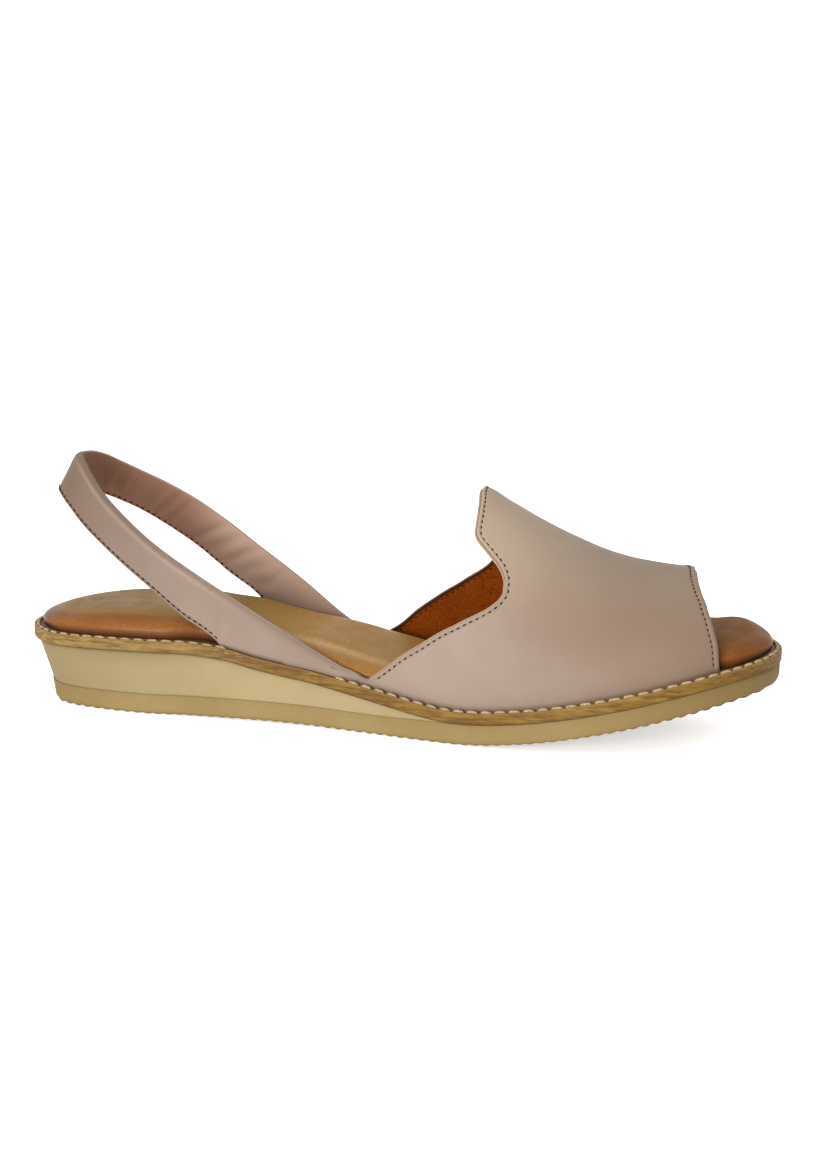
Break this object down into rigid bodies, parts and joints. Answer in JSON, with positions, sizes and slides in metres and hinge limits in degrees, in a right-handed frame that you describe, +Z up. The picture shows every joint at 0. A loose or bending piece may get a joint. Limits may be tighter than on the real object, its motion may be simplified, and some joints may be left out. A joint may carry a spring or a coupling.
{
  "type": "slingback peep-toe sandal",
  "caption": "Left peep-toe sandal with a broad leather vamp, a heel strap, a padded insole, a stitched welt and a low wedge on a thin sole.",
  "frame": {"origin": "centre of the overall box at the floor", "axes": "+X towards the toe, +Y towards the outer side of the foot, +Z up"},
  "size_m": [0.25, 0.0854, 0.0824],
  "materials": {
    "outsole": "matt cellular rubber, light brown",
    "wedge": "matt foam, cream",
    "welt": "olive tan leather edge, mottled",
    "insole": "glossy burnished tan leather",
    "upper": "smooth nude leather with a faint grain"
  },
  "bodies": {
    "root": {"outsole": "outsole", "wedge": "wedge", "welt": "welt", "insole": "insole", "upper": "upper"}
  },
  "joints": []
}
